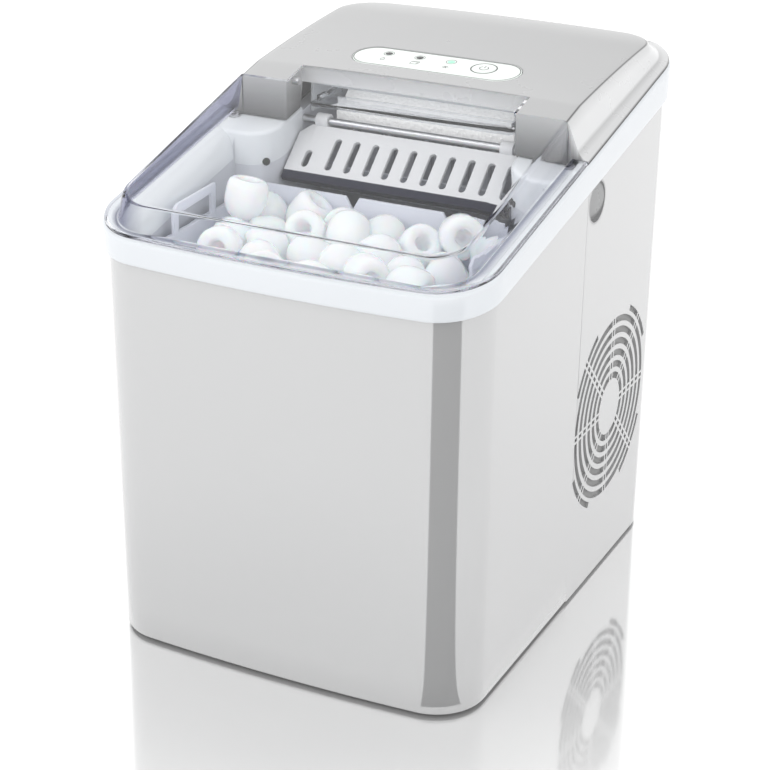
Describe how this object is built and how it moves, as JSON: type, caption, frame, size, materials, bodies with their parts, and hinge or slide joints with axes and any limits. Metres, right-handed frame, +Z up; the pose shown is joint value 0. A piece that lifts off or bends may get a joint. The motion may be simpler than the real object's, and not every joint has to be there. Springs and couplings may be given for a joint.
{
  "type": "countertop ice maker",
  "caption": "Countertop ice maker with a clear hinged lid, lift-out basket, slotted shovel, tipping water tray, sloping rear cover with control panel and a round side vent.",
  "frame": {"origin": "centre of the footprint, on the surface that the feet stand on", "axes": "+X to the appliance's right as seen from the front, +Y to the rear, +Z up"},
  "size_m": [0.242, 0.315, 0.328],
  "materials": {
    "silver_panel": "satin silver",
    "silver_plastic": "satin silver",
    "white_plastic": "gloss",
    "liner_plastic": "gloss",
    "basket_plastic": "frosted",
    "clear_plastic": "clear",
    "mint_plastic": "satin",
    "black_plastic": "matte",
    "grey_plastic": "matte",
    "black_paint": "semi-gloss",
    "rubber": "matte",
    "steel": "brushed",
    "chrome": "plated",
    "aluminium": "mill",
    "copper": "tube",
    "brass": "machined",
    "foam": "foamed",
    "circuit_board": "solder mask",
    "hose": "silicone",
    "screen_mesh": "fine pale mesh"
  },
  "bodies": {
    "housing": {"base_pan": "grey_plastic", "feet": "rubber", "front_shell": "silver_panel", "rear_shell": "silver_panel", "side_grips": "silver_plastic", "top_frame": "white_plastic", "frame_screws": "steel", "shell_screws": "steel", "tub_liner": "liner_plastic", "foam_jacket": "foam", "chamber_roof": "white_plastic", "top_cover": "silver_plastic", "panel_overlay": "mint_plastic", "indicator_lenses": "mint_plastic", "display_board": "circuit_board", "control_board": "circuit_board", "shovel_rod": "steel", "tray_motor": "grey_plastic", "evaporator_body": "aluminium", "freezing_fingers": "chrome", "evaporator_shield": "clear_plastic", "ice_level_sensors": "black_plastic", "water_level_sensor": "white_plastic", "water_pump": "grey_plastic", "pump_hose": "hose", "compressor": "black_paint", "compressor_grommets": "rubber", "compressor_bolts": "steel", "condenser_fins": "aluminium", "condenser_tubes": "copper", "fan_shroud": "grey_plastic", "fan_motor": "black_plastic", "dust_screen": "screen_mesh", "filter_drier": "copper", "hot_gas_valve": "brass", "refrigerant_pipes": "copper", "power_inlet": "black_plastic", "drain_spout": "white_plastic", "drain_hose": "hose"},
    "lid": {"lid": "clear_plastic", "lid_hinge_pins": "steel"},
    "basket": {"ice_basket": "basket_plastic"},
    "shovel": {"ice_shovel": "white_plastic"},
    "tray": {"water_tray": "basket_plastic", "tray_shaft": "steel"},
    "fan": {"fan": "black_plastic"},
    "button": {"power_button": "mint_plastic"},
    "plug": {"drain_plug": "grey_plastic"}
  },
  "joints": [
    {"name": "lid_hinge", "type": "hinge", "parent": "housing", "child": "lid", "pos_m": [0, 0.008, 0.30698], "axis": [-1, 0, 0], "range_deg": [0, 80]},
    {"name": "basket_lift", "type": "slide", "parent": "housing", "child": "basket", "axis": [0, 0, 1], "range_m": [0, 0.022]},
    {"name": "tray_tilt", "type": "hinge", "parent": "housing", "child": "tray", "pos_m": [0, 0.049, 0.258], "axis": [-1, 0, 0], "range_deg": [0, 45]},
    {"name": "shovel_swing", "type": "hinge", "parent": "housing", "child": "shovel", "pos_m": [0, 0.022, 0.2805], "axis": [1, 0, 0], "range_deg": [0, 30]},
    {"name": "fan_spin", "type": "hinge", "parent": "housing", "child": "fan", "pos_m": [0.09, 0.063, 0.112], "axis": [1, 0, 0], "continuous": true},
    {"name": "power_press", "type": "slide", "parent": "housing", "child": "button", "axis": [0, 0.1191, -0.9929], "range_m": [0, 0.0012], "stiffness_N_per_m": 300, "springref_m": -0.002},
    {"name": "drain_pull", "type": "slide", "parent": "housing", "child": "plug", "axis": [-1, 0, 0], "range_m": [0, 0.02]}
  ],
  "couplings": [
    {"joint": "shovel_swing", "follows": "tray_tilt", "ratio": 0.65}
  ]
}
